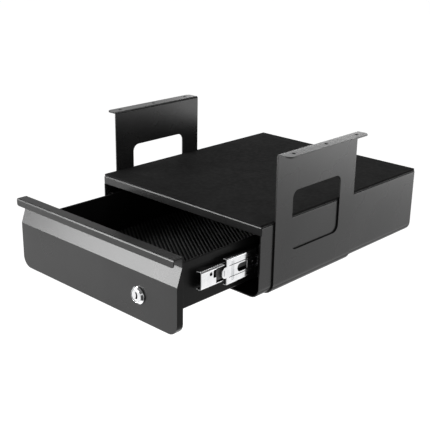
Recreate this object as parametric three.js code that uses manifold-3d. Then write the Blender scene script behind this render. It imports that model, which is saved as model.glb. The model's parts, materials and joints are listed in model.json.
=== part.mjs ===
// Under desk drawer safe: a steel housing hung from a desk by two brackets, with a locking drawer.
// Millimetres, +Z up. The origin is in the plane of the flange tops, on the centre line, at the
// middle screw hole of each bracket. The drawer opens towards -Y and is shown part open.

import * as THREE from "three";
import { mergeVertices } from "three/addons/utils/BufferGeometryUtils.js";
import Module from "manifold-3d";

const wasm = await Module();
wasm.setup();

// Fits
const SEAT = 0.1; // gap between sheets and pieces that lie on each other
const CLEAR = 0.3; // gap round a piece that passes through a hole or beside a wall
const CUT_OVER = 5; // how far a cutting solid runs past the faces that it cuts
const SHORT_OVER = 1; // the same where another piece of the sheet stands close by

// Housing
const WIDTH = 307.6;
const DEPTH = 364;
const HEIGHT = 100.8;
const SHEET = 1.5;
const BODY_BEND = 15; // outside radius of the two bottom edges
const RIM_WIDTH = 13.5; // inward flanges that carry the top plate
const RIM_NOTCH = 4; // the flanges stop short of both ends
const RIM_BEND = 0.3; // inside radius where they leave the sides
const HEM = 12.4; // front edge of the top plate, turned down
const SMALL_BEND = 1; // inside radius of the tight bends
const BACK_INSET = 1; // the back plate sits inside the rear edges
const MAT_THICK = 2.2;
const MAT_INSET = 0.5;
const MAT_CORNER = 1;

// Brackets
const HANG = 90.7; // desk to the top plate
const BRACKET_LENGTH = 172.4;
const BRACKET_SHEET = 2;
const BRACKET_BEHIND = 111.5; // bracket centre behind the housing's front edge
const SIDE_GAP = 0.3; // bracket plate to housing side
const BRACKET_BEND = 15; // inside radius of the bottom bend
const TOP_BEND = 0.5;
const FLANGE = 19.2; // flange beyond the plate
const FLANGE_CORNER = 8;
const FLANGE_HOLE = 5.5;
const FLANGE_HOLE_END = 18.2; // end holes from the bracket's ends
const FLANGE_HOLE_OUT = 9.6; // hole centre beyond the plate's outer face
const WINDOW_LENGTH = 104.6;
const WINDOW_HEIGHT = 83.6;
const WINDOW_TOP = 55; // below the desk
const WINDOW_CORNER = 10.5;
const FOOT_REACH = 41.8; // bottom flange, in from the housing's side
const BOLT_IN = 29.8; // bolts, in from the housing's side
const BOLT_END = 27; // bolts from the bracket's ends
const BOLT = 5;
const BOLT_HEX = 8;
const BOLT_HEAD = 3.5;
const NUT_HEIGHT = 4;
const BOLT_PAST_NUT = 1.5;

// Drawer tray
const OPEN_AT_REST = 137;
const TRAY_SHEET = 1.2;
const TRAY_TOP = 21.2; // below the housing's top
const TRAY_LIFT = 16.3; // above the housing's underside
const TRAY_REAR_GAP = 25.4; // to the back plate, with the drawer closed
const TRAY_HEM = 9.6;
const TRAY_HEM_BEND = 0.4;
const TRAY_BEND = 1;
const TRAY_END_DROP = 4; // front and rear walls below the side walls
const LINER_THICK = 1.4;
const LINER_FRONT = 16;
const LINER_SIDE_GAP = 1;
const RIB_HEIGHT = 1.2;
const RIB_PITCH = 5.5;
const RIB_FOOT = 3.2;
const RIB_CREST = 2;
const RIB_ANGLE = -34.2; // degrees from the X axis

// Drawer front
const FRONT_OVERHANG = 0.2; // beyond the housing on each side
const FRONT_DEPTH = 10;
const FRONT_GAP = 1; // drawer front to housing, closed
const FRONT_SHEET = 1.5;
const FRONT_LIFT = 0.3; // above the housing's underside
const FRONT_CORNER = 15;
const SLOPE_LOW = 36.3; // ends of the slope below the housing's top
const SLOPE_HIGH = 13.3;
const NECK_SHEET = 1.8;
const LIP_REACH = 15.8; // handle flange ahead of the front's rear plane
const LIP_DROP = 10.2;
const LIP_BEND = 0.5;
const LIP_END = 3.5;
const TAB_EDGE = 7; // screw centre to the edges of the drawer front's screw tabs
const FRONT_SCREW_IN = 11; // in from the tray's side
const FRONT_SCREW_LOW = 10; // above the tray's underside
const FRONT_SCREW_HIGH = 17; // below the tray's top
const FRONT_SCREW = 4;
const FRONT_SCREW_HEAD = 7.6;
const FRONT_SCREW_HEAD_HEIGHT = 2.2;
const FRONT_SCREW_LENGTH = 6;
const HEAD_RIM = 1.3; // straight part of the screw head's height
const HEAD_CROWN = 1.1; // crown's edge in from the head's edge

// Lock
const LOCK_IN = 67; // in from the front's right edge
const LOCK_UP = 33.7; // above the front's bottom edge
const LOCK_FACE = 23;
const LOCK_PROUD = 4.6;
const LOCK_BARREL = 19;
const LOCK_LENGTH = 18.5;
const LOCK_BORE = 12;
const LOCK_CHAMFER = 2.6; // edge of the lock's face, at 45 degrees
const LOCK_NUT_ACROSS = 24;
const LOCK_NUT_THICK = 4;
const LOCK_WALL_HOLE = 30; // hole in the tray's front wall
const PLUG_FACE = 16;
const PLUG_SUNK = 0.4;
const PLUG_RING = 0.5; // gap round the plug's face
const PLUG_FACE_DEPTH = 2.2;
const KEYHOLE_TALL = 9.6;
const KEYHOLE_WIDE = 2.6;
const KEYHOLE_STEP = 1.6; // middle of the keyhole to the right of its ends
const KEYHOLE_MIDDLE = 3.2; // height of that middle part
const KEYHOLE_DEPTH = 9;
const PLUG_SQUARE = 6;
const TANG_ROOT = 1; // square tang's overlap with the plug
const CAM_THICK = 2;
const CAM_WIDTH = 14;
const CAM_BEHIND = 0.3; // lock barrel to cam
const CAM_SCREW_HEAD = 9;
const CAM_SCREW_THICK = 2.4;
const CAM_SCREW_SHANK = 3;
const CAM_SCREW_LENGTH = 5;
const CAM_PLAY = 1.5; // cam to the catch and its foot, and cam to the sides of its slot
const CATCH_WIDE = 40;
const CATCH_GAP = 2.3; // tray's underside to the catch
const CATCH_FOOT = 18;

// Slides
const SLIDE_UP = 50; // slide's middle above the housing's underside
const SLIDE_SHEET = 1.2;
const SLIDE_RUN = 1; // gap between the webs of neighbouring members
const SLIDE_BEND = 0.6;
const DRAWER_MEMBER_OUT = 10.9; // tray side to the web's outer face
const DRAWER_MEMBER_GAP = 2.4;
const DRAWER_MEMBER_HEIGHT = 26;
const DRAWER_MEMBER_DRAW = 1; // its flanges lean this far in at their edges
const DRAWER_MEMBER_BEND = 2.4; // inside radius of its wider bends
const DRAWER_MEMBER_FRONT = 44.8;
const DRAWER_MEMBER_REAR_GAP = 4.5; // to the middle member's rear end, closed
const MIDDLE_HEIGHT = 35.5;
const MIDDLE_FLANGE = 6.2;
const MIDDLE_FRONT = 19.5;
const MIDDLE_REAR_GAP = 0.8; // to the end stop, closed
const TONGUE_HEIGHT = 15;
const TONGUE_LENGTH = 8;
const TONGUE_CORNER = 6;
const SLOT_HEIGHT = 11;
const SLOT_FROM_FRONT = 20;
const SLOT_LENGTH = 46;
const TONGUE_SLIT = 1; // upright slit in the tongue
const TONGUE_SLIT_TALL = 8;
const TONGUE_SLIT_AHEAD = 4; // of the middle member's front end
const SLIT = 0.8; // long slits above and below the slot
const SLIT_UP = 7.9;
const SLIT_FROM_FRONT = 5;
const SLIT_LENGTH = 66;
const PRESSED_WIDE = 5; // shallow upright recess in the web
const PRESSED_TALL = 25.6;
const PRESSED_DEPTH = 0.3;
const PRESSED_FROM_FRONT = 8.6;
const CABINET_HEIGHT = 46;
const CABINET_FLANGE = 7;
const CABINET_FRONT = 20;
const CABINET_REAR_GAP = 5.5; // to the back plate
const CAGE_SHEET = 0.4;
const CAGE_LENGTH = 130;
const OUTER_CAGE_FRONT = 110;
const INNER_CAGE_FRONT = 115;
const BALLS_PER_ROW = 6;
const OUTER_BALL = 3.4;
const INNER_BALL = 3.5;
const CAGE_STRIP = 3.4;
const CUP_OUTER = 11;
const CUP_INNER = 9;
const CUP_PAST_LEVER = 3; // front cup's edge behind the release lever
const CUP_REAR = 32; // from the drawer member's rear end
const SLIDE_SCREW = 4;
const SLIDE_SCREW_HEAD = 7.6;
const SLIDE_SCREW_HEAD_HEIGHT = 2;
const SLIDE_SCREW_PAST = 1.6;
const CABINET_SCREW_FRONT = 40; // from the cabinet member's front end
const CABINET_SCREW_REAR = 50; // from its rear end
const CABINET_SCREW_LENGTH = 4.5;
const STOP_LENGTH = 5.4;
const STOP_HEIGHT = 26;
const STOP_DEPTH = 5;
const STOP_CORNER = 1;
const SMALL_HOLE = 5.2;
const SMALL_HOLE_FROM_FRONT = 17.3;
const SMALL_HOLE_UP = 5.2;
const LEVER_WINDOW_FROM_FRONT = 26.5;
const LEVER_WINDOW_LENGTH = 58;
const LEVER_WINDOW_HEIGHT = 19.4;
const LEVER_NOTCH = 5; // ahead of the window's front edge
const LEVER_NOTCH_LOW = -1.5;
const LEVER_NOTCH_HIGH = 9;
const LEVER_NOTCH_CORNER = 1.8;
const LEVER_IN_WINDOW = 1; // window's front edge to the lever
const LEVER_HEIGHT = 5;
const LEVER_THICK = 2.5;
const LEVER_HEAD_HEIGHT = 15;
const LEVER_HEAD_LENGTH = 22;
const LEVER_CORNER = 2;
const LEVER_PIN = 3;
const LEVER_PIN_BEHIND = 9; // behind the window
const LEVER_TAIL = 6; // behind the pin
const MOUNT_DEPTH = 8.8; // housing wall to the face that carries the slide
const MOUNT_HEIGHT = 47;
const MOUNT_LEG = 11;
const MOUNT_FRONT = 8;
const MOUNT_REAR_GAP = 7.5; // to the back plate

// Worked out from the dimensions above
const halfWidth = WIDTH / 2;
const mountFace = halfWidth - SHEET - SEAT - MOUNT_DEPTH;
const cabinetWeb = mountFace - SEAT;
const middleWeb = cabinetWeb - SLIDE_SHEET - SLIDE_RUN;
const drawerWeb = middleWeb - SLIDE_SHEET - SLIDE_RUN;
const traySide = drawerWeb - DRAWER_MEMBER_OUT;
const backPlate = DEPTH - BACK_INSET - SHEET;
const cabinetLength = backPlate - CABINET_REAR_GAP - CABINET_FRONT;
const stopFront = CABINET_FRONT + cabinetLength - STOP_LENGTH - CLEAR;
const middleLength = stopFront - MIDDLE_REAR_GAP - MIDDLE_FRONT;
const drawerMemberLength = MIDDLE_FRONT + middleLength - DRAWER_MEMBER_REAR_GAP - DRAWER_MEMBER_FRONT;
const leverFront = LEVER_WINDOW_FROM_FRONT + LEVER_IN_WINDOW;
const leverPin = LEVER_WINDOW_FROM_FRONT + LEVER_WINDOW_LENGTH + LEVER_PIN_BEHIND;
const cupFront = leverPin + LEVER_TAIL + CUP_PAST_LEVER + CUP_OUTER / 2;
const cupsAlong = [cupFront, drawerMemberLength - CUP_REAR];
const cabinetScrewsAlong = [CABINET_SCREW_FRONT, cabinetLength - CABINET_SCREW_REAR];
const slideDown = HEIGHT - SLIDE_UP;
const frontRear = -FRONT_GAP;
const frontFace = frontRear - FRONT_DEPTH;
const frontHalf = halfWidth + FRONT_OVERHANG;
const frontBottom = HEIGHT - FRONT_LIFT;
const trayFront = frontRear + SEAT;
const trayRear = backPlate - TRAY_REAR_GAP;
const trayBottom = HEIGHT - TRAY_LIFT;
const frontScrewAcross = traySide - FRONT_SCREW_IN;
const frontScrewsDown = [TRAY_TOP + FRONT_SCREW_HIGH, trayBottom - FRONT_SCREW_LOW];
const lockX = frontHalf - LOCK_IN;
const lockDown = frontBottom - LOCK_UP;
const lockEnd = frontFace + LOCK_LENGTH;
const camFront = lockEnd + CAM_BEHIND;
const camBack = camFront + CAM_THICK;
const catchFloor = HEIGHT - SHEET - SEAT;
const camSweep = catchFloor - SHEET - CAM_PLAY - lockDown;
const camReach = Math.sqrt(camSweep ** 2 - (CAM_WIDTH / 2) ** 2);
const plateOuter = halfWidth + SIDE_GAP + BRACKET_SHEET;
const footUnder = HEIGHT + SEAT + BRACKET_SHEET;
const boltAcross = halfWidth - BOLT_IN;
const boltAlong = BRACKET_LENGTH / 2 - BOLT_END;

const ARC_STEPS = 3;
const WIDE_ARC_STEPS = 6;
const ROUND_SIDES = 24;
const LOCK_SIDES = 48;
const SMALL_SIDES = 12;
const BALL_SIDES = 6;
const BALL_RINGS = 5;

const black = { color: 0x2b2b2c, roughness: 0.5, metalness: 0.2 };
const darkRubber = { color: 0x1c1c1c, roughness: 0.9, metalness: 0 };
const zinc = { color: 0xc9ccce, roughness: 0.35, metalness: 0.9 };
const chrome = { color: 0xe2e4e6, roughness: 0.15, metalness: 1 };
const blackPlastic = { color: 0x161616, roughness: 0.6, metalness: 0 };

const root = new THREE.Group();
const housing = new THREE.Group();
housing.position.set(0, -BRACKET_BEHIND, -HANG);
root.add(housing);
const drawer = new THREE.Group();
drawer.position.set(0, -OPEN_AT_REST, 0);
housing.add(drawer);

function addPiece(group, name, geometry, look) {
  const mesh = new THREE.Mesh(geometry, new THREE.MeshStandardMaterial(look));
  mesh.name = name;
  group.add(mesh);
  return mesh;
}

// Solids

function toSolid(geometry) {
  const bare = geometry.clone();
  bare.deleteAttribute("normal");
  bare.deleteAttribute("uv");
  const merged = mergeVertices(bare, 1e-4);
  const vertProperties = new Float32Array(merged.attributes.position.array);
  const triVerts = new Uint32Array(merged.index.array);
  return new wasm.Manifold(new wasm.Mesh({ numProp: 3, vertProperties, triVerts }));
}

function toGeometry(solid) {
  const mesh = solid.getMesh();
  const geometry = new THREE.BufferGeometry();
  geometry.setAttribute("position", new THREE.BufferAttribute(new Float32Array(mesh.vertProperties), 3));
  geometry.setIndex(new THREE.BufferAttribute(new Uint32Array(mesh.triVerts), 1));
  geometry.computeVertexNormals();
  return geometry;
}

function join(...geometries) {
  const solids = geometries.map(toSolid);
  return toGeometry(solids.reduce((sum, next) => sum.add(next)));
}

function cut(geometry, ...tools) {
  const solids = tools.map(toSolid);
  return toGeometry(solids.reduce((rest, next) => rest.subtract(next), toSolid(geometry)));
}

function common(geometry, other) {
  return toGeometry(toSolid(geometry).intersect(toSolid(other)));
}

function box(x0, x1, y0, y1, z0, z1) {
  const geometry = new THREE.BoxGeometry(Math.abs(x1 - x0), Math.abs(y1 - y0), Math.abs(z1 - z0));
  return geometry.translate((x0 + x1) / 2, (y0 + y1) / 2, (z0 + z1) / 2);
}

function shapeOf(points) {
  return new THREE.Shape(points.map(([u, v]) => new THREE.Vector2(u, v)));
}

// Profile in X and Z, running along Y from y0 to y1
function alongY(shape, y0, y1, curveSegments = WIDE_ARC_STEPS) {
  const geometry = new THREE.ExtrudeGeometry(shape, { depth: y1 - y0, bevelEnabled: false, curveSegments });
  return geometry.rotateX(Math.PI / 2).translate(0, y1, 0);
}

// Profile in Y and Z, running along X from x0 to x1
function alongX(shape, x0, x1, curveSegments = WIDE_ARC_STEPS) {
  const geometry = new THREE.ExtrudeGeometry(shape, { depth: x1 - x0, bevelEnabled: false, curveSegments });
  const turn = new THREE.Matrix4().makeBasis(
    new THREE.Vector3(0, 1, 0),
    new THREE.Vector3(0, 0, 1),
    new THREE.Vector3(1, 0, 0),
  );
  return geometry.applyMatrix4(turn).translate(x0, 0, 0);
}

// Profile in X and Y, running along Z from z0 to z1
function alongZ(shape, z0, z1, curveSegments = WIDE_ARC_STEPS) {
  const geometry = new THREE.ExtrudeGeometry(shape, { depth: z1 - z0, bevelEnabled: false, curveSegments });
  return geometry.translate(0, 0, z0);
}

// Rectangle with its own radius at each corner: lower left, lower right, upper right, upper left
function roundedRect(u0, u1, v0, v1, radii) {
  const [a, b, c, d] = radii;
  const shape = new THREE.Shape();
  shape.moveTo(u0 + a, v0);
  shape.lineTo(u1 - b, v0);
  if (b) shape.absarc(u1 - b, v0 + b, b, -Math.PI / 2, 0, false);
  shape.lineTo(u1, v1 - c);
  if (c) shape.absarc(u1 - c, v1 - c, c, 0, Math.PI / 2, false);
  shape.lineTo(u0 + d, v1);
  if (d) shape.absarc(u0 + d, v1 - d, d, Math.PI / 2, Math.PI, false);
  shape.lineTo(u0, v0 + a);
  if (a) shape.absarc(u0 + a, v0 + a, a, Math.PI, 1.5 * Math.PI, false);
  return shape;
}

// Outline of a sheet folded along a line. The sheet lies to the left of the line, or to the right
// with a negative thickness. bends gives the inside radius at each inner point of the line.
function foldedSheet(line, thickness, bends, steps) {
  const face = [];
  const other = [];
  const place = (list, point, normal, offset) => {
    list.push([point[0] + normal[0] * offset, point[1] + normal[1] * offset]);
  };
  const heading = (from, to) => {
    const length = Math.hypot(to[0] - from[0], to[1] - from[1]);
    return [(to[0] - from[0]) / length, (to[1] - from[1]) / length];
  };
  line.forEach((point, index) => {
    const last = index === line.length - 1;
    if (index === 0 || last) {
      const way = last ? heading(line[index - 1], point) : heading(point, line[1]);
      const normal = [-way[1], way[0]];
      face.push(point);
      place(other, point, normal, thickness);
      return;
    }
    const into = heading(line[index - 1], point);
    const out = heading(point, line[index + 1]);
    const turn = Math.atan2(into[0] * out[1] - into[1] * out[0], into[0] * out[0] + into[1] * out[1]);
    const inside = Math.sign(turn) === Math.sign(thickness);
    const inner = bends[index - 1];
    const radius = inside ? inner + Math.abs(thickness) : inner;
    const back = radius * Math.tan(Math.abs(turn) / 2);
    const side = Math.sign(turn);
    const centre = [
      point[0] - into[0] * back - into[1] * side * radius,
      point[1] - into[1] * back + into[0] * side * radius,
    ];
    const count = steps[index - 1];
    for (let step = 0; step <= count; step += 1) {
      const angle = (turn * step) / count;
      const normal = [
        -into[1] * Math.cos(angle) - into[0] * Math.sin(angle),
        into[0] * Math.cos(angle) - into[1] * Math.sin(angle),
      ];
      const onFace = [centre[0] - normal[0] * side * radius, centre[1] - normal[1] * side * radius];
      face.push(onFace);
      place(other, onFace, normal, thickness);
    }
  });
  return shapeOf([...face, ...other.reverse()]);
}

function sameCorners(radius) {
  return [radius, radius, radius, radius];
}

// Turned solid of radius and height pairs, standing along the axis named
function turned(profile, axis, sides = ROUND_SIDES) {
  const points = profile.map(([radius, height]) => new THREE.Vector2(radius, height));
  const geometry = new THREE.LatheGeometry(points, sides);
  if (axis === "x") geometry.rotateZ(-Math.PI / 2);
  if (axis === "z") geometry.rotateX(Math.PI / 2);
  return geometry;
}

// Round bar from one height to another along the axis named, centred on the other two coordinates
function rod(axis, diameter, from, to, at, sides = ROUND_SIDES) {
  const radius = diameter / 2;
  const geometry = turned([[0, from], [radius, from], [radius, to], [0, to]], axis, sides);
  if (axis === "x") return geometry.translate(0, at[0], at[1]);
  if (axis === "y") return geometry.translate(at[0], 0, at[1]);
  return geometry.translate(at[0], at[1], 0);
}

// Hexagonal bar along Z, across its flats
function hexBar(across, z0, z1) {
  const corner = across / Math.sqrt(3);
  const points = [0, 1, 2, 3, 4, 5].map((n) => [
    corner * Math.cos((n * Math.PI) / 3),
    corner * Math.sin((n * Math.PI) / 3),
  ]);
  return alongZ(shapeOf(points), z0, z1);
}

// Housing

function boltPlaces() {
  const places = [];
  for (const side of [-1, 1]) {
    for (const end of [-1, 1]) {
      places.push([side * boltAcross, BRACKET_BEHIND + end * boltAlong]);
    }
  }
  return places;
}

function housingBody() {
  const topFace = -SHEET - SEAT;
  const line = [
    [-halfWidth + RIM_WIDTH, topFace],
    [-halfWidth, topFace],
    [-halfWidth, -HEIGHT],
    [halfWidth, -HEIGHT],
    [halfWidth, topFace],
    [halfWidth - RIM_WIDTH, topFace],
  ];
  const bottomBend = BODY_BEND - SHEET;
  const bends = [RIM_BEND, bottomBend, bottomBend, RIM_BEND];
  const steps = [ARC_STEPS, WIDE_ARC_STEPS, WIDE_ARC_STEPS, ARC_STEPS];
  const shell = alongY(foldedSheet(line, SHEET, bends, steps), 0, DEPTH);
  const inner = halfWidth - SHEET;
  const rimDrop = -SHEET - SEAT - SHEET - RIM_BEND;
  const relief = SHEET + SMALL_BEND + SEAT;
  const notches = [
    box(-halfWidth - CUT_OVER, halfWidth + CUT_OVER, -CUT_OVER, SHEET + CLEAR, -HEM - CLEAR, 0),
    box(-halfWidth - CUT_OVER, halfWidth + CUT_OVER, -CUT_OVER, relief, -relief, 0),
    box(-inner, inner, -CUT_OVER, RIM_NOTCH, rimDrop, 0),
    box(-inner, inner, DEPTH - RIM_NOTCH, DEPTH + CUT_OVER, rimDrop, 0),
  ];
  const holes = boltPlaces().map((at) => {
    return rod("z", BOLT + CLEAR, -HEIGHT - CUT_OVER, -HEIGHT + CUT_OVER, at, SMALL_SIDES);
  });
  return cut(shell, ...notches, ...holes);
}

function housingTop() {
  const line = [
    [0, -HEM],
    [0, 0],
    [DEPTH, 0],
  ];
  const profile = foldedSheet(line, -SHEET, [SMALL_BEND], [ARC_STEPS]);
  return alongX(profile, -halfWidth, halfWidth);
}

function housingBack() {
  const inner = halfWidth - SHEET - SEAT;
  const corner = BODY_BEND - SHEET;
  const low = -HEIGHT + SHEET + SEAT;
  const high = -SHEET - SEAT;
  const outline = roundedRect(-inner, inner, low, high, [corner, corner, 0, 0]);
  return alongY(outline, backPlate, backPlate + SHEET);
}

function topMat() {
  const half = halfWidth - MAT_INSET;
  const outline = roundedRect(-half, half, MAT_INSET, DEPTH - MAT_INSET, sameCorners(MAT_CORNER));
  return alongZ(outline, SEAT, SEAT + MAT_THICK, ARC_STEPS);
}

function lockCatch() {
  const floor = -catchFloor;
  const back = camFront - CAM_PLAY;
  const line = [
    [back - SHEET, -trayBottom - CATCH_GAP],
    [back - SHEET, floor],
    [back + CATCH_FOOT, floor],
  ];
  const profile = foldedSheet(line, SHEET, [SMALL_BEND], [ARC_STEPS]);
  return alongX(profile, lockX - CATCH_WIDE / 2, lockX + CATCH_WIDE / 2);
}

function slideMount(side) {
  const wall = halfWidth - SHEET - SEAT;
  const face = mountFace + SHEET;
  const half = MOUNT_HEIGHT / 2 - SHEET;
  const line = [
    [wall, -half - MOUNT_LEG],
    [wall, -half],
    [face, -half],
    [face, half],
    [wall, half],
    [wall, half + MOUNT_LEG],
  ].map(([x, z]) => [side * x, z - slideDown]);
  const bends = [SMALL_BEND, SMALL_BEND, SMALL_BEND, SMALL_BEND];
  const steps = [ARC_STEPS, ARC_STEPS, ARC_STEPS, ARC_STEPS];
  const profile = foldedSheet(line, side * SHEET, bends, steps);
  const rail = alongY(profile, MOUNT_FRONT, backPlate - MOUNT_REAR_GAP);
  const holes = cabinetScrewsAlong.map((along) => {
    const at = [CABINET_FRONT + along, -slideDown];
    return sideRod(side, SLIDE_SCREW + CLEAR, mountFace - CUT_OVER, face + CUT_OVER / 2, at);
  });
  return cut(rail, ...holes);
}

// Round bar along X from one distance off the centre line to another, on the side given
function sideRod(side, diameter, from, to, at, sides = SMALL_SIDES) {
  const ends = [side * from, side * to].sort((a, b) => a - b);
  return rod("x", diameter, ends[0], ends[1], at, sides);
}

// Brackets

function bracket(side) {
  const bottom = -HANG - footUnder;
  const footInner = halfWidth - FOOT_REACH;
  const line = [
    [footInner, bottom],
    [plateOuter, bottom],
    [plateOuter, -BRACKET_SHEET],
    [plateOuter + FLANGE, -BRACKET_SHEET],
  ].map(([x, z]) => [side * x, z]);
  const half = BRACKET_LENGTH / 2;
  const bends = [BRACKET_BEND, TOP_BEND];
  const profile = foldedSheet(line, side * BRACKET_SHEET, bends, [WIDE_ARC_STEPS, ARC_STEPS]);
  const plate = alongY(profile, -half, half);
  const tip = plateOuter + FLANGE;
  const plan = roundedRect(-half, half, footInner - CUT_OVER, tip, [0, 0, FLANGE_CORNER, FLANGE_CORNER]);
  const trimmed = common(plate, planOnSide(plan, side, bottom - CUT_OVER, CUT_OVER));
  const low = -WINDOW_TOP - WINDOW_HEIGHT;
  const windowHalf = WINDOW_LENGTH / 2;
  const window = roundedRect(-windowHalf, windowHalf, low, -WINDOW_TOP, sameCorners(WINDOW_CORNER));
  const ends = [side * (plateOuter - CUT_OVER), side * (plateOuter + CUT_OVER)].sort((a, b) => a - b);
  const tools = [alongX(window, ends[0], ends[1])];
  for (const step of [-1, 0, 1]) {
    const at = [side * (plateOuter + FLANGE_HOLE_OUT), step * (half - FLANGE_HOLE_END)];
    tools.push(rod("z", FLANGE_HOLE, -BRACKET_SHEET - CUT_OVER, CUT_OVER, at, SMALL_SIDES));
  }
  for (const end of [-1, 1]) {
    const at = [side * boltAcross, end * boltAlong];
    tools.push(rod("z", BOLT + CLEAR, bottom - CUT_OVER, bottom + CUT_OVER, at, SMALL_SIDES));
  }
  return cut(trimmed, ...tools);
}

// Plan drawn with its length first and its distance from the centre line second
function planOnSide(shape, side, z0, z1) {
  return alongZ(shape, z0, z1).rotateZ((side * -Math.PI) / 2);
}

function bracketBolt() {
  const head = hexBar(BOLT_HEX, -BOLT_HEAD, 0);
  const grip = SEAT + BRACKET_SHEET + SEAT + SHEET;
  const shank = rod("z", BOLT, -SEAT, grip + SEAT + NUT_HEIGHT + BOLT_PAST_NUT, [0, 0], SMALL_SIDES);
  return join(head, shank);
}

function bracketNut() {
  const bore = rod("z", BOLT + CLEAR, -CUT_OVER, NUT_HEIGHT + CUT_OVER, [0, 0], SMALL_SIDES);
  return cut(hexBar(BOLT_HEX, 0, NUT_HEIGHT), bore);
}

// Drawer, in places measured with the drawer closed

function drawerTray() {
  const leafInner = traySide + 2 * TRAY_HEM_BEND;
  const foldTop = -TRAY_TOP - TRAY_SHEET;
  const half = [
    [leafInner, -TRAY_TOP - TRAY_HEM],
    [leafInner, foldTop],
    [traySide, foldTop],
    [traySide, -trayBottom],
  ];
  const line = [...half, ...half.map(([x, z]) => [-x, z]).reverse()];
  const bends = [TRAY_HEM_BEND, TRAY_HEM_BEND, TRAY_BEND, TRAY_BEND, TRAY_HEM_BEND, TRAY_HEM_BEND];
  const steps = bends.map(() => ARC_STEPS);
  const rear = trayRear;
  const inner = traySide - TRAY_SHEET / 2;
  const floorMiddle = -trayBottom + TRAY_SHEET / 2;
  const endTop = -TRAY_TOP - TRAY_END_DROP;
  const shell = join(
    alongY(foldedSheet(line, -TRAY_SHEET, bends, steps), trayFront, rear),
    box(-inner, inner, trayFront, trayFront + TRAY_SHEET, floorMiddle, endTop),
    box(-inner, inner, rear - TRAY_SHEET, rear, floorMiddle, endTop),
  );
  const drop = trayBottom - TRAY_SHEET - lockDown;
  const swing = Math.sqrt(camSweep ** 2 - drop ** 2) + CAM_PLAY;
  const tools = [
    rod("y", LOCK_WALL_HOLE, trayFront - CUT_OVER, trayFront + CUT_OVER, [lockX, -lockDown]),
    box(
      lockX - swing,
      lockX + CAM_WIDTH / 2 + CAM_PLAY,
      camFront - CAM_PLAY,
      camBack + CAM_PLAY,
      -trayBottom - CUT_OVER,
      -trayBottom + CUT_OVER,
    ),
  ];
  for (const side of [-1, 1]) {
    for (const level of frontScrewsDown) {
      const at = [side * frontScrewAcross, -level];
      const ends = [trayFront - CUT_OVER, trayFront + CUT_OVER];
      tools.push(rod("y", FRONT_SCREW + CLEAR, ends[0], ends[1], at, SMALL_SIDES));
    }
    for (const along of cupsAlong) {
      const at = [DRAWER_MEMBER_FRONT + along, -slideDown];
      tools.push(sideRod(side, SLIDE_SCREW + CLEAR, traySide - CUT_OVER, traySide + CUT_OVER, at));
    }
  }
  return cut(shell, ...tools);
}

function drawerLiner() {
  const half = traySide - TRAY_SHEET - LINER_SIDE_GAP;
  const rear = trayRear - TRAY_SHEET - LINER_SIDE_GAP;
  const low = -trayBottom + TRAY_SHEET + SEAT;
  const centreY = (LINER_FRONT + rear) / 2;
  const turn = THREE.MathUtils.degToRad(RIB_ANGLE);
  const reach = Math.hypot(half, rear - centreY) + RIB_PITCH;
  const count = Math.ceil(reach / RIB_PITCH);
  const points = [[-count * RIB_PITCH, 0]];
  for (let rib = -count; rib < count; rib += 1) {
    const middle = (rib + 0.5) * RIB_PITCH;
    points.push([middle - RIB_FOOT / 2, LINER_THICK]);
    points.push([middle - RIB_CREST / 2, LINER_THICK + RIB_HEIGHT]);
    points.push([middle + RIB_CREST / 2, LINER_THICK + RIB_HEIGHT]);
    points.push([middle + RIB_FOOT / 2, LINER_THICK]);
  }
  points.push([count * RIB_PITCH, 0]);
  const ribbed = alongX(shapeOf(points), -reach, reach).rotateZ(turn).translate(0, centreY, low);
  return common(ribbed, box(-half, half, LINER_FRONT, rear, low - CUT_OVER, low + CUT_OVER));
}

// Side outline of the drawer front, drawn in by inset for the hollow behind it
function frontSide(inset) {
  const slopeLean = (FRONT_DEPTH - NECK_SHEET) / (SLOPE_LOW - SLOPE_HIGH);
  const along = inset * Math.hypot(1, slopeLean);
  const face = frontFace + inset;
  const slopeStart = -SLOPE_LOW + (along - inset) / slopeLean;
  const neck = frontRear - NECK_SHEET;
  if (inset) {
    const out = frontRear + CUT_OVER;
    return shapeOf([
      [out, -frontBottom + inset],
      [face, -frontBottom + inset],
      [face, slopeStart],
      [out, slopeStart + (out - face) / slopeLean],
    ]);
  }
  return shapeOf([
    [frontRear, -frontBottom],
    [face, -frontBottom],
    [face, slopeStart],
    [neck, -SLOPE_HIGH],
    [neck, -FRONT_SHEET],
    [frontRear, -FRONT_SHEET],
  ]);
}

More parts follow.
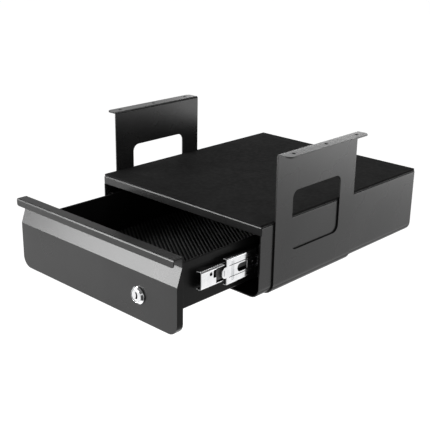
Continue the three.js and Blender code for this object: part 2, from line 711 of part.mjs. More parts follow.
function drawerFront() {
  const half = frontHalf;
  const corner = FRONT_CORNER;
  const inner = half - FRONT_SHEET;
  const low = -frontBottom;
  const ends = [frontFace - CUT_OVER, frontRear + 2 * CUT_OVER];
  const outline = alongY(roundedRect(-half, half, low, CUT_OVER, [corner, corner, 0, 0]), ends[0], ends[1]);
  const pan = common(alongX(frontSide(0), -half, half), outline);
  const innerCorner = corner - FRONT_SHEET;
  const hollowRound = [innerCorner, innerCorner, 0, 0];
  const hollowOutline = roundedRect(-inner, inner, low + FRONT_SHEET, CUT_OVER, hollowRound);
  const hollowSide = alongX(frontSide(FRONT_SHEET), -inner, inner);
  const hollow = common(hollowSide, alongY(hollowOutline, ends[0], ends[1]));
  const lipFront = frontRear - LIP_REACH;
  const line = [
    [lipFront, -LIP_DROP],
    [lipFront, 0],
    [frontRear, 0],
  ];
  const lip = alongX(foldedSheet(line, -FRONT_SHEET, [LIP_BEND], [ARC_STEPS]), -half, half);
  const lipRound = [LIP_END, LIP_END, 0, 0];
  const lipOutline = roundedRect(-half, half, -LIP_DROP, CUT_OVER, lipRound);
  const roundedLip = common(lip, alongY(lipOutline, lipFront - CUT_OVER, frontRear + CUT_OVER));
  const tabs = [-1, 1].map((side) => {
    const across = [side * (frontScrewAcross - TAB_EDGE), side * (half - FRONT_SHEET / 2)];
    const edges = across.sort((a, b) => a - b);
    const levels = [-frontScrewsDown[1] - TAB_EDGE, -frontScrewsDown[0] + TAB_EDGE];
    return box(edges[0], edges[1], frontRear - FRONT_SHEET, frontRear, levels[0], levels[1]);
  });
  const shell = join(cut(pan, hollow), roundedLip, ...tabs);
  const holeEnds = [frontFace - CUT_OVER, frontFace + CUT_OVER];
  const tabEnds = [frontRear - CUT_OVER, frontRear + CUT_OVER];
  const tools = [rod("y", LOCK_BARREL + CLEAR, holeEnds[0], holeEnds[1], [lockX, -lockDown])];
  for (const side of [-1, 1]) {
    for (const level of frontScrewsDown) {
      const at = [side * frontScrewAcross, -level];
      tools.push(rod("y", FRONT_SCREW + CLEAR, tabEnds[0], tabEnds[1], at, SMALL_SIDES));
    }
  }
  return cut(shell, ...tools);
}

function frontScrew() {
  const head = FRONT_SCREW_HEAD / 2;
  const shank = FRONT_SCREW / 2;
  const top = FRONT_SCREW_HEAD_HEIGHT;
  const profile = [
    [0, -FRONT_SCREW_LENGTH],
    [shank, -FRONT_SCREW_LENGTH],
    [shank, 0],
    [head, 0],
    [head, HEAD_RIM],
    [head - HEAD_CROWN, top],
    [0, top],
  ];
  return turned(profile, "y", SMALL_SIDES);
}

// Lock, centred on its own axis, with its face towards -Y

function lockBody() {
  const face = LOCK_FACE / 2;
  const barrel = LOCK_BARREL / 2;
  const seat = -SEAT;
  const profile = [
    [0, -LOCK_PROUD],
    [face - LOCK_CHAMFER, -LOCK_PROUD],
    [face, -LOCK_PROUD + LOCK_CHAMFER],
    [face, seat],
    [barrel, seat],
    [barrel, LOCK_LENGTH],
    [0, LOCK_LENGTH],
  ];
  const recessEnd = -LOCK_PROUD + PLUG_SUNK + PLUG_FACE_DEPTH + CLEAR;
  const across = PLUG_FACE + 2 * PLUG_RING;
  const recess = rod("y", across, -LOCK_PROUD - CUT_OVER, recessEnd, [0, 0], LOCK_SIDES);
  const bore = rod("y", LOCK_BORE + 2 * CLEAR, -LOCK_PROUD, LOCK_LENGTH + CUT_OVER, [0, 0]);
  return cut(turned(profile, "y", LOCK_SIDES), recess, bore);
}

function lockPlug() {
  const face = PLUG_FACE / 2;
  const bore = LOCK_BORE / 2;
  const front = -LOCK_PROUD + PLUG_SUNK;
  const profile = [
    [0, front],
    [face, front],
    [face, front + PLUG_FACE_DEPTH],
    [bore, front + PLUG_FACE_DEPTH],
    [bore, LOCK_LENGTH],
    [0, LOCK_LENGTH],
  ];
  const tall = KEYHOLE_TALL / 2;
  const wide = KEYHOLE_WIDE / 2;
  const middle = KEYHOLE_MIDDLE / 2;
  const ends = [-wide - KEYHOLE_STEP / 2, wide - KEYHOLE_STEP / 2];
  const outline = shapeOf([
    [ends[0], -tall],
    [ends[1], -tall],
    [ends[1] + KEYHOLE_STEP, -middle],
    [ends[1] + KEYHOLE_STEP, middle],
    [ends[1], tall],
    [ends[0], tall],
    [ends[0] + KEYHOLE_STEP, middle],
    [ends[0] + KEYHOLE_STEP, -middle],
  ]);
  const key = alongY(outline, front - CUT_OVER, front + KEYHOLE_DEPTH);
  const square = PLUG_SQUARE / 2;
  const end = LOCK_LENGTH + CAM_BEHIND + CAM_THICK;
  const tang = box(-square, square, LOCK_LENGTH - TANG_ROOT, end, -square, square);
  const holeEnd = end - CAM_SCREW_LENGTH - CLEAR;
  const hole = rod("y", CAM_SCREW_SHANK + CLEAR, holeEnd, end + CUT_OVER, [0, 0], SMALL_SIDES);
  return cut(join(turned(profile, "y", LOCK_SIDES), tang), key, hole);
}

function lockNut() {
  const bore = rod("z", LOCK_BARREL + CLEAR, -CUT_OVER, LOCK_NUT_THICK + CUT_OVER, [0, 0]);
  return cut(hexBar(LOCK_NUT_ACROSS, 0, LOCK_NUT_THICK), bore).rotateX(-Math.PI / 2);
}

function lockCam() {
  const half = CAM_WIDTH / 2;
  const outline = new THREE.Shape();
  outline.absarc(0, 0, half, -Math.PI / 2, Math.PI / 2, false);
  outline.lineTo(-camReach, half);
  outline.lineTo(-camReach, -half);
  const square = PLUG_SQUARE / 2 + CLEAR;
  const hole = box(-square, square, -CUT_OVER, CUT_OVER, -square, square);
  return cut(alongY(outline, 0, CAM_THICK), hole);
}

function camScrew() {
  const head = CAM_SCREW_HEAD / 2;
  const shank = CAM_SCREW_SHANK / 2;
  const profile = [
    [0, -CAM_SCREW_LENGTH],
    [shank, -CAM_SCREW_LENGTH],
    [shank, 0],
    [head, 0],
    [head, CAM_SCREW_THICK],
    [0, CAM_SCREW_THICK],
  ];
  return turned(profile, "y", SMALL_SIDES);
}

// Slides. Each member is drawn about the slide's centre height, with its front end at Y 0.

function drawerMember(side) {
  const half = DRAWER_MEMBER_HEIGHT / 2;
  const inner = traySide + DRAWER_MEMBER_GAP;
  const line = [
    [inner, half - DRAWER_MEMBER_DRAW],
    [drawerWeb, half],
    [drawerWeb, -half],
    [inner, -half + DRAWER_MEMBER_DRAW],
  ].map(([x, z]) => [side * x, z]);
  const bends = [DRAWER_MEMBER_BEND, DRAWER_MEMBER_BEND];
  const profile = foldedSheet(line, -side * SLIDE_SHEET, bends, [WIDE_ARC_STEPS, WIDE_ARC_STEPS]);
  const channel = alongY(profile, 0, drawerMemberLength);
  const webInner = drawerWeb - SLIDE_SHEET;
  const seat = traySide + SEAT;
  const cups = cupsAlong.map((along) => {
    return sideRod(side, CUP_OUTER, seat, webInner + SLIDE_SHEET / 2, [along, 0]);
  });
  const tools = [];
  for (const along of cupsAlong) {
    tools.push(sideRod(side, CUP_INNER, seat + SLIDE_SHEET, drawerWeb + CUT_OVER, [along, 0]));
    tools.push(sideRod(side, SLIDE_SCREW + CLEAR, seat - CUT_OVER, drawerWeb, [along, 0]));
  }
  const through = [webInner - CUT_OVER / 2, drawerWeb + CUT_OVER];
  tools.push(sideRod(side, SMALL_HOLE, through[0], through[1], [SMALL_HOLE_FROM_FRONT, SMALL_HOLE_UP]));
  tools.push(sideRod(side, LEVER_PIN + CLEAR, through[0], through[1], [leverPin, 0]));
  const tall = LEVER_WINDOW_HEIGHT / 2;
  const edges = [side * through[0], side * through[1]].sort((a, b) => a - b);
  const window = [LEVER_WINDOW_FROM_FRONT, LEVER_WINDOW_FROM_FRONT + LEVER_WINDOW_LENGTH];
  const notch = roundedRect(
    window[0] - LEVER_NOTCH,
    window[0] + LEVER_NOTCH,
    LEVER_NOTCH_LOW,
    LEVER_NOTCH_HIGH,
    sameCorners(LEVER_NOTCH_CORNER),
  );
  tools.push(box(edges[0], edges[1], window[0], window[1], -tall, tall));
  tools.push(alongX(notch, edges[0], edges[1], ARC_STEPS));
  return cut(join(channel, ...cups), ...tools);
}

function middleMember(side) {
  const half = MIDDLE_HEIGHT / 2;
  const inner = middleWeb - MIDDLE_FLANGE;
  const line = [
    [inner, half],
    [middleWeb, half],
    [middleWeb, -half],
    [inner, -half],
  ].map(([x, z]) => [side * x, z]);
  const bends = [SLIDE_BEND, SLIDE_BEND];
  const profile = foldedSheet(line, -side * SLIDE_SHEET, bends, [ARC_STEPS, ARC_STEPS]);
  const channel = alongY(profile, 0, middleLength);
  const edges = [side * (middleWeb - SLIDE_SHEET), side * middleWeb].sort((a, b) => a - b);
  const corners = [TONGUE_CORNER, 0, 0, TONGUE_CORNER];
  const tongue = roundedRect(-TONGUE_LENGTH, SLIDE_SHEET, -TONGUE_HEIGHT / 2, TONGUE_HEIGHT / 2, corners);
  const round = SLOT_HEIGHT / 2;
  const slotEnd = SLOT_FROM_FRONT + SLOT_LENGTH;
  const slot = roundedRect(SLOT_FROM_FRONT, slotEnd, -round, round, sameCorners(round));
  const whole = join(channel, alongX(tongue, edges[0], edges[1], ARC_STEPS));
  const past = [edges[0] - SHORT_OVER, edges[1] + SHORT_OVER];
  const tools = [alongX(slot, past[0], past[1], ARC_STEPS)];
  for (const up of [-SLIT_UP, SLIT_UP]) {
    const end = SLIT_FROM_FRONT + SLIT_LENGTH;
    tools.push(box(past[0], past[1], SLIT_FROM_FRONT, end, up - SLIT / 2, up + SLIT / 2));
  }
  const tall = TONGUE_SLIT_TALL / 2;
  const slit = [-TONGUE_SLIT_AHEAD - TONGUE_SLIT, -TONGUE_SLIT_AHEAD];
  tools.push(box(past[0], past[1], slit[0], slit[1], -tall, tall));
  const skin = [middleWeb - PRESSED_DEPTH, middleWeb + SHORT_OVER];
  const recess = skin.map((x) => side * x).sort((a, b) => a - b);
  const pressed = [PRESSED_FROM_FRONT, PRESSED_FROM_FRONT + PRESSED_WIDE];
  tools.push(box(recess[0], recess[1], pressed[0], pressed[1], -PRESSED_TALL / 2, PRESSED_TALL / 2));
  return cut(whole, ...tools);
}

function cabinetMember(side) {
  const half = CABINET_HEIGHT / 2;
  const inner = cabinetWeb - CABINET_FLANGE;
  const line = [
    [inner, half],
    [cabinetWeb, half],
    [cabinetWeb, -half],
    [inner, -half],
  ].map(([x, z]) => [side * x, z]);
  const bends = [SLIDE_BEND, SLIDE_BEND];
  const profile = foldedSheet(line, -side * SLIDE_SHEET, bends, [ARC_STEPS, ARC_STEPS]);
  const channel = alongY(profile, 0, cabinetLength);
  const holes = cabinetScrewsAlong.map((along) => {
    const wide = SLIDE_SCREW_HEAD / 2 + CLEAR;
    const narrow = SLIDE_SCREW / 2 + CLEAR;
    return sideCone(side, wide, narrow, cabinetWeb - SLIDE_SHEET, cabinetWeb, [along, 0]);
  });
  return cut(channel, ...holes);
}

// Cone along X on the side given, a little longer than the sheet at both faces
function sideCone(side, wide, narrow, from, to, at) {
  const profile = [
    [0, from - SHORT_OVER],
    [wide, from - SHORT_OVER],
    [wide, from],
    [narrow, to],
    [narrow, to + SHORT_OVER],
    [0, to + SHORT_OVER],
  ];
  const geometry = turned(profile, "x", SMALL_SIDES);
  if (side < 0) geometry.rotateZ(Math.PI);
  return geometry.translate(0, at[0], at[1]);
}

// Web between two members, with a strip and a row of balls along its top and bottom edges
function ballCage(side, webMiddle, ball, ballAcross, ballUp) {
  const halfSheet = CAGE_SHEET / 2;
  const stripInner = ballAcross - CAGE_STRIP / 2;
  const solids = [];
  for (const up of [-1, 1]) {
    const line = [
      [stripInner, up * ballUp],
      [webMiddle, up * ballUp],
      [webMiddle, 0],
    ].map(([x, z]) => [side * x, z]);
    const sheetSide = -side * up * CAGE_SHEET;
    const profile = foldedSheet(line, sheetSide, [CAGE_SHEET], [ARC_STEPS]);
    const strip = alongY(profile, 0, CAGE_LENGTH);
    solids.push(strip.translate(side * halfSheet, 0, 0));
    const gap = CAGE_LENGTH / BALLS_PER_ROW;
    for (let index = 0; index < BALLS_PER_ROW; index += 1) {
      const sphere = new THREE.SphereGeometry(ball / 2, BALL_SIDES, BALL_RINGS).rotateX(Math.PI / 2);
      solids.push(sphere.translate(side * ballAcross, gap * (index + 0.5), up * ballUp));
    }
  }
  return join(...solids);
}

function outerCage(side) {
  const webMiddle = middleWeb + SLIDE_RUN / 2;
  const middleTop = MIDDLE_HEIGHT / 2;
  const cabinetInside = CABINET_HEIGHT / 2 - SLIDE_SHEET;
  const across = middleWeb - MIDDLE_FLANGE / 2;
  return ballCage(side, webMiddle, OUTER_BALL, across, (middleTop + cabinetInside) / 2);
}

function innerCage(side) {
  const webMiddle = drawerWeb + SLIDE_RUN / 2;
  const drawerTop = (DRAWER_MEMBER_HEIGHT - DRAWER_MEMBER_DRAW) / 2;
  const middleInside = MIDDLE_HEIGHT / 2 - SLIDE_SHEET;
  const across = middleWeb - SLIDE_SHEET - CLEAR - INNER_BALL / 2;
  return ballCage(side, webMiddle, INNER_BALL, across, (drawerTop + middleInside) / 2);
}

function endStop(side) {
  const back = cabinetWeb - SLIDE_SHEET - SEAT;
  const edges = [side * (back - STOP_DEPTH), side * back].sort((a, b) => a - b);
  const half = STOP_HEIGHT / 2;
  const outline = roundedRect(edges[0], edges[1], -half, half, sameCorners(STOP_CORNER));
  return alongY(outline, 0, STOP_LENGTH, ARC_STEPS);
}

// Lever about its pin's centre, with its head towards the front
function releaseLever(side) {
  const outer = drawerWeb - SLIDE_SHEET - CLEAR;
  const edges = [side * (outer - LEVER_THICK), side * outer].sort((a, b) => a - b);
  const front = leverFront - leverPin;
  const corners = sameCorners(LEVER_CORNER);
  const bar = roundedRect(front, LEVER_TAIL, -LEVER_HEIGHT / 2, LEVER_HEIGHT / 2, corners);
  const headHalf = LEVER_HEAD_HEIGHT / 2;
  const head = roundedRect(front, front + LEVER_HEAD_LENGTH, -headHalf, headHalf, corners);
  const pinEnd = drawerWeb - CLEAR;
  return join(
    alongX(bar, edges[0], edges[1], ARC_STEPS),
    alongX(head, edges[0], edges[1], ARC_STEPS),
    sideRod(side, LEVER_PIN, outer - LEVER_THICK / 2, pinEnd, [0, 0]),
  );
}

function slideScrew(side) {
  const head = SLIDE_SCREW_HEAD / 2;
  const shank = SLIDE_SCREW / 2;
  const length = SLIDE_SHEET + SEAT + SEAT + TRAY_SHEET + SLIDE_SCREW_PAST;
  const profile = [
    [0, -length],
    [shank, -length],
    [shank, 0],
    [head, 0],
    [head, SLIDE_SCREW_HEAD_HEIGHT],
    [0, SLIDE_SCREW_HEAD_HEIGHT],
  ];
  const geometry = turned(profile, "x", SMALL_SIDES);
  return side < 0 ? geometry.rotateZ(Math.PI) : geometry;
}

function cabinetScrew(side) {
  const head = SLIDE_SCREW_HEAD / 2;
  const shank = SLIDE_SCREW / 2;
  const profile = [
    [0, 0],
    [head, 0],
    [shank, SLIDE_SHEET],
    [shank, SLIDE_SHEET + CABINET_SCREW_LENGTH],
    [0, SLIDE_SHEET + CABINET_SCREW_LENGTH],
  ];
  const geometry = turned(profile, "x", SMALL_SIDES);
  return side < 0 ? geometry.rotateZ(Math.PI) : geometry;
}

// Housing and what is fixed in it

addPiece(housing, "housing_body", housingBody(), black);
addPiece(housing, "housing_top", housingTop(), black);
addPiece(housing, "housing_back", housingBack(), black);
addPiece(housing, "top_mat", topMat(), darkRubber);
addPiece(housing, "lock_catch", lockCatch(), black);

const sides = [
  ["left", -1],
  ["right", 1],
];

boltPlaces().forEach(([x, y], index) => {
  const bolt = addPiece(housing, `bracket_bolt_${index + 1}`, bracketBolt(), zinc);
  bolt.position.set(x, y, -footUnder - SEAT);
  const nut = addPiece(housing, `bracket_nut_${index + 1}`, bracketNut(), zinc);
  nut.position.set(x, y, -HEIGHT + SHEET + SEAT);
});

for (const [name, side] of sides) {
  addPiece(root, `${name}_bracket`, bracket(side), black);
  addPiece(housing, `${name}_slide_mount`, slideMount(side), black);

  // Each moving member is drawn out by its share of the drawer's travel
  const member = (share, front, label, geometry, look) => {
    const mesh = addPiece(housing, `${name}_${label}`, geometry, look);
    mesh.position.set(0, front - share * OPEN_AT_REST, -slideDown);
  };
  member(0, CABINET_FRONT, "cabinet_member", cabinetMember(side), zinc);
  member(0, stopFront, "end_stop", endStop(side), blackPlastic);
  member(0.25, OUTER_CAGE_FRONT, "outer_ball_cage", outerCage(side), zinc);
  member(0.5, MIDDLE_FRONT, "middle_member", middleMember(side), zinc);
  member(0.75, INNER_CAGE_FRONT, "inner_ball_cage", innerCage(side), zinc);
  member(1, DRAWER_MEMBER_FRONT, "drawer_member", drawerMember(side), zinc);

  cabinetScrewsAlong.forEach((along, index) => {
    const screw = addPiece(housing, `${name}_cabinet_screw_${index + 1}`, cabinetScrew(side), zinc);
    screw.position.set(side * (cabinetWeb - SLIDE_SHEET), CABINET_FRONT + along, -slideDown);
  });
  cupsAlong.forEach((along, index) => {
    const screw = addPiece(drawer, `${name}_slide_screw_${index + 1}`, slideScrew(side), zinc);
    const seat = traySide + SEAT + SLIDE_SHEET + SEAT;
    screw.position.set(side * seat, DRAWER_MEMBER_FRONT + along, -slideDown);
  });
  frontScrewsDown.forEach((level, index) => {
    const screw = addPiece(drawer, `${name}_front_screw_${index + 1}`, frontScrew(), zinc);
    screw.position.set(side * frontScrewAcross, trayFront + TRAY_SHEET + SEAT, -level);
  });
  const lever = addPiece(drawer, `${name}_release_lever`, releaseLever(side), blackPlastic);
  lever.position.set(0, DRAWER_MEMBER_FRONT + leverPin, -slideDown);
}

// Drawer

addPiece(drawer, "drawer_tray", drawerTray(), black);
addPiece(drawer, "drawer_front", drawerFront(), black);
addPiece(drawer, "drawer_liner", drawerLiner(), darkRubber);

const lock = new THREE.Group();
lock.position.set(lockX, frontFace, -lockDown);
drawer.add(lock);
addPiece(lock, "lock_body", lockBody(), chrome);
addPiece(lock, "lock_plug", lockPlug(), chrome);
addPiece(lock, "lock_nut", lockNut(), zinc).position.set(0, FRONT_SHEET + SEAT, 0);
addPiece(lock, "lock_cam", lockCam(), zinc).position.set(0, LOCK_LENGTH + CAM_BEHIND, 0);
const camScrewSeat = LOCK_LENGTH + CAM_BEHIND + CAM_THICK + SEAT;
addPiece(lock, "cam_screw", camScrew(), zinc).position.set(0, camScrewSeat, 0);

export default root;
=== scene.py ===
# Looks for the under desk drawer safe: refined pieces, procedural materials, light and camera.
# Metres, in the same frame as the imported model: the drawer opens towards -Y, +Z is up.

import json
import math

import bmesh
import bpy
from mathutils import Matrix, Vector


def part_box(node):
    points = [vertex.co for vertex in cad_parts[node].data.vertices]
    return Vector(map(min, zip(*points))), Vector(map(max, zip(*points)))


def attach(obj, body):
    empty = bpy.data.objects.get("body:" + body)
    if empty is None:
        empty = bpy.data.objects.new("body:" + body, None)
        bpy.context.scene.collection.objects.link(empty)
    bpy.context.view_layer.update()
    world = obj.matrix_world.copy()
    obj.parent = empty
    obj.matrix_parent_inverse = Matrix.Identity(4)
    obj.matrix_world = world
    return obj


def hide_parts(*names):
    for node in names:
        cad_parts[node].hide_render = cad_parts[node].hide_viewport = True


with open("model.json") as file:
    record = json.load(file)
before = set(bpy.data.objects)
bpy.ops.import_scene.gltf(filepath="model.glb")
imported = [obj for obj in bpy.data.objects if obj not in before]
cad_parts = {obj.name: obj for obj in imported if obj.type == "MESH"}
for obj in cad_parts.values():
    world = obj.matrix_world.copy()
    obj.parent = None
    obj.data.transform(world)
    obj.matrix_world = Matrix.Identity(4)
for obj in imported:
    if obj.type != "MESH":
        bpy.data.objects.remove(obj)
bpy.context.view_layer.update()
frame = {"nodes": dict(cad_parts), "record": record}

MM = 0.001
SIDES = (("left", -1), ("right", 1))

# Camera, worked out from the edges in the photograph
CAMERA_PLACE = (0.8113, -0.8981, 0.2928)
CAMERA_AZIMUTH = 43.17
CAMERA_ELEVATION = 19.76
CAMERA_ROLL = 0.93
CAMERA_LENS = 72.70
SENSOR = 36.0
CLIP_NEAR = 0.05
CLIP_FAR = 100


def make_camera():
    azimuth, elevation, roll = (math.radians(v) for v in (CAMERA_AZIMUTH, CAMERA_ELEVATION, CAMERA_ROLL))
    back = Vector((
        math.sin(azimuth) * math.cos(elevation),
        -math.cos(azimuth) * math.cos(elevation),
        math.sin(elevation),
    ))
    right = Vector((math.cos(azimuth), math.sin(azimuth), 0))
    up = back.cross(right)
    side = math.cos(roll) * right + math.sin(roll) * up
    top = -math.sin(roll) * right + math.cos(roll) * up
    data = bpy.data.cameras.new("camera")
    data.lens = CAMERA_LENS
    data.sensor_width = SENSOR
    data.clip_start = CLIP_NEAR
    data.clip_end = CLIP_FAR
    camera = bpy.data.objects.new("camera", data)
    bpy.context.scene.collection.objects.link(camera)
    turn = Matrix((side, top, back)).transposed().to_4x4()
    camera.matrix_world = Matrix.Translation(CAMERA_PLACE) @ turn
    bpy.context.scene.camera = camera


# Materials: sizes and depths in the calls below are millimetres

MIDDLE_LOW = 0.35  # part of a noise's range that its colour or roughness is spread over
MIDDLE_HIGH = 0.65
EVEN = (1.0, 1.0, 1.0)  # stretch of a noise along each axis, where less draws it out
ALONG_Y = (1.0, 0.04, 1.0)
UPRIGHT = (1.0, 1.0, 0.3)


def grey(shade):
    return (shade, shade, shade)


class Nodes:
    """A material with its node tree, and short calls to add nodes to it."""

    def __init__(self, name):
        self.material = bpy.data.materials.new(name)
        self.material.use_nodes = True
        self.tree = self.material.node_tree
        self.shader = self.tree.nodes["Principled BSDF"]
        self.place = self.add("ShaderNodeTexCoord").outputs["Object"]

    def add(self, kind, **values):
        node = self.tree.nodes.new(kind)
        for key, value in values.items():
            setattr(node, key, value)
        return node

    def link(self, source, target):
        self.tree.links.new(source, target)

    def stretched(self, scale):
        node = self.add("ShaderNodeMapping")
        node.inputs["Scale"].default_value = scale
        self.link(self.place, node.inputs["Vector"])
        return node.outputs["Vector"]

    def noise(self, size, detail=2.0, stretch=None):
        node = self.add("ShaderNodeTexNoise")
        node.inputs["Scale"].default_value = 1 / (size * MM)
        node.inputs["Detail"].default_value = detail
        vector = self.stretched(stretch) if stretch else self.place
        self.link(vector, node.inputs["Vector"])
        return node.outputs["Fac"]

    def band(self, source, low, high, from_low=MIDDLE_LOW, from_high=MIDDLE_HIGH):
        node = self.add("ShaderNodeMapRange")
        node.inputs["From Min"].default_value = from_low
        node.inputs["From Max"].default_value = from_high
        node.inputs["To Min"].default_value = low
        node.inputs["To Max"].default_value = high
        self.link(source, node.inputs["Value"])
        return node.outputs["Result"]

    def tint(self, source, dark, light, low=MIDDLE_LOW, high=MIDDLE_HIGH):
        ramp = self.add("ShaderNodeValToRGB")
        ramp.color_ramp.elements[0].position = low
        ramp.color_ramp.elements[0].color = (*dark, 1)
        ramp.color_ramp.elements[1].position = high
        ramp.color_ramp.elements[1].color = (*light, 1)
        self.link(source, ramp.inputs["Fac"])
        return ramp.outputs["Color"]

    def bump(self, source, strength, depth, below=None):
        node = self.add("ShaderNodeBump")
        node.inputs["Strength"].default_value = strength
        node.inputs["Distance"].default_value = depth * MM
        self.link(source, node.inputs["Height"])
        if below:
            self.link(below, node.inputs["Normal"])
        return node.outputs["Normal"]

    def finish(self, color, roughness, normal, metallic=0.0, gloss=None):
        self.shader.inputs["Metallic"].default_value = metallic
        self.link(color, self.shader.inputs["Base Color"])
        self.link(roughness, self.shader.inputs["Roughness"])
        self.link(normal, self.shader.inputs["Normal"])
        if gloss is not None:
            self.shader.inputs["Specular IOR Level"].default_value = gloss
        return self.material


COAT_SPREAD = 0.012  # of roughness either way
RUBBER_ROUGH = (0.74, 0.86)
RIB_TOP_LIGHT_LEAST = 0.86  # least share of the painted light on the rib tops, which a noise spreads at random
PLATE_SMOOTHER = 0.8  # roughness along the lines and between them, as a share of its middle
PLATE_ROUGHER = 1.3
PLASTIC_SPREAD = 0.05
PLASTIC_DARKER = 0.8
PLASTIC_LIGHTER = 1.2


def powder_coat(name, dark, light, rough, gloss):
    """Satin paint with a faint orange peel."""
    n = Nodes(name)
    color = n.tint(n.noise(size=45, detail=3), grey(dark), grey(light))
    roughness = n.band(n.noise(size=70, detail=2), rough - COAT_SPREAD, rough + COAT_SPREAD)
    peel = n.bump(n.noise(size=0.9, detail=2), strength=0.03, depth=0.02)
    return n.finish(color, roughness, peel, gloss=gloss)


def rubber(name, dark, light, grain, gloss, ribs=None):
    """Rubber with a pebbled skin. With ribs, a pair of heights, it has painted shade in the hollows below
    and painted light on the rib tops above.
    """
    n = Nodes(name)
    if ribs:
        parts = n.add("ShaderNodeSeparateXYZ")
        n.link(n.place, parts.inputs["Vector"])
        # painted light on the rib tops and painted shade in the hollows between them
        lit_tops = n.band(parts.outputs["Z"], 0, 1, *ribs)
        spread = n.band(n.noise(size=12, detail=4), RIB_TOP_LIGHT_LEAST, 1)
        amount = n.add("ShaderNodeMath", operation="MULTIPLY")
        n.link(lit_tops, amount.inputs[0])
        n.link(spread, amount.inputs[1])
        color = n.tint(amount.outputs["Value"], grey(dark), grey(light), 0, 1)
    else:
        color = n.tint(n.noise(size=30, detail=4), grey(dark), grey(light))
    roughness = n.band(n.noise(size=6, detail=3), *RUBBER_ROUGH)
    cell = n.add("ShaderNodeTexVoronoi", feature="SMOOTH_F1")
    cell.inputs["Scale"].default_value = 1 / (grain * MM)
    n.link(n.place, cell.inputs["Vector"])
    pebbles = n.bump(cell.outputs["Distance"], strength=0.3, depth=0.1)
    skin = n.bump(n.noise(size=grain / 3, detail=2), strength=0.2, depth=0.04, below=pebbles)
    return n.finish(color, roughness, skin, gloss=gloss)


def plated(name, dark, light, rough, lines=EVEN, metallic=1.0):
    """Bright or blackened metal with fine lines, drawn out along an axis by a small stretch."""
    n = Nodes(name)
    streak = n.noise(size=0.7, detail=3, stretch=lines)
    color = n.tint(n.noise(size=9, detail=4), dark, light)
    roughness = n.band(streak, rough * PLATE_SMOOTHER, rough * PLATE_ROUGHER)
    return n.finish(color, roughness, n.bump(streak, strength=0.15, depth=0.02), metallic=metallic)


def plastic(name, shade, rough):
    """Moulded plastic with a fine texture."""
    n = Nodes(name)
    color = n.tint(n.noise(size=5, detail=3), grey(shade * PLASTIC_DARKER), grey(shade * PLASTIC_LIGHTER))
    roughness = n.band(n.noise(size=2, detail=2), rough - PLASTIC_SPREAD, rough + PLASTIC_SPREAD)
    texture = n.bump(n.noise(size=0.35, detail=2), strength=0.25, depth=0.04)
    return n.finish(color, roughness, texture)


COAT = powder_coat("black_powder_coat", dark=0.009, light=0.012, rough=0.27, gloss=0.36)
COAT_FRONT = powder_coat("black_powder_coat_front", dark=0.009, light=0.012, rough=0.28, gloss=0.38)
# A darker, less glossy copy of the coat: painted shade for faces that lie in shade
COAT_PAINTED_SHADE = powder_coat("black_powder_coat_painted_shade", dark=0.004, light=0.006, rough=0.36, gloss=0.09)
MAT = rubber("black_rubber", dark=0.008, light=0.011, grain=0.9, gloss=0.05)
# Below a rib's top: painted light all over as far as the first depth, and painted shade in the hollows
# from the second depth on
RIB_TOP_LIT_TO = 0.3 * MM
RIB_SHADED_FROM = 1.0 * MM
LINER_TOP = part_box("drawer_liner")[1].z
RIB_LIGHT_AND_SHADE = (LINER_TOP - RIB_SHADED_FROM, LINER_TOP - RIB_TOP_LIT_TO)
LINER = rubber("ribbed_rubber", dark=0.004, light=0.045, grain=0.7, gloss=0.3, ribs=RIB_LIGHT_AND_SHADE)
SLIDE_ZINC = plated("slide_zinc", (0.74, 0.75, 0.76), (0.83, 0.83, 0.84), rough=0.14, lines=ALONG_Y)
# Sheared ends: partly the bare edge's own light grey, partly a painted highlight brighter than the bare
# edge would be
SHEARED_AND_HIGHLIGHT = plated("sheared_ends_and_highlight", (0.82, 0.83, 0.84), (0.9, 0.9, 0.91), rough=0.5, metallic=0.0)
PRESSED_ZINC = plated("pressed_zinc", (0.56, 0.57, 0.58), (0.64, 0.65, 0.66), rough=0.3)
# Near-black on the keyhole's walls and end: painted shade in the recess
KEYWAY_SHADE = plated("keyway_painted_shade", (0.02, 0.02, 0.021), (0.035, 0.035, 0.036), rough=0.5, metallic=0.0)
BOLT_ZINC = plated("bolt_zinc", (0.55, 0.56, 0.58), (0.72, 0.73, 0.75), rough=0.33, lines=UPRIGHT)
DARK_SCREW = plated("blackened_screw", (0.03, 0.03, 0.032), (0.05, 0.05, 0.052), rough=0.4)
CHROME = plated("chrome", (0.78, 0.79, 0.8), (0.86, 0.87, 0.88), rough=0.09)
BALL_STEEL = plated("ball_steel", (0.7, 0.7, 0.71), (0.76, 0.76, 0.77), rough=0.1)
BLACK_PLASTIC = plastic("black_plastic", shade=0.012, rough=0.5)
GREY_PLASTIC = plastic("dark_grey_plastic", shade=0.04, rough=0.5)

LOOKS = {
    "powder_coat": COAT,
    "rubber_mat": MAT,
    "zinc_steel": SLIDE_ZINC,
    "chrome": CHROME,
    "black_plastic": BLACK_PLASTIC,
}
# Pieces with a look of their own, by a part of their name
SPECIAL_LOOKS = (
    # The tray, the lock's catch and the slide mounts take the darker copy of the coat as painted shade
    ("drawer_tray", COAT_PAINTED_SHADE),
    ("lock_catch", COAT_PAINTED_SHADE),
    ("slide_mount", COAT_PAINTED_SHADE),
    ("drawer_front", COAT_FRONT),
    ("drawer_liner", LINER),
    ("slide_screw", DARK_SCREW),
    ("front_screw", DARK_SCREW),
    ("cabinet_screw", DARK_SCREW),
    ("bracket_bolt", BOLT_ZINC),
    ("bracket_nut", BOLT_ZINC),
    ("cam_screw", BOLT_ZINC),
    ("release_lever", GREY_PLASTIC),
)
SLOT_OF = {entry["node"]: entry["material_slot"] for entry in frame["record"]["subparts"]}
BODY_OF = {
    node: body
    for body, members in frame["record"]["behaviour"]["bodies"].items()
    for node in members
}


# Pieces: sizes in millimetres, angles in degrees

EDGE = 0.25  # width of the rounding of edges
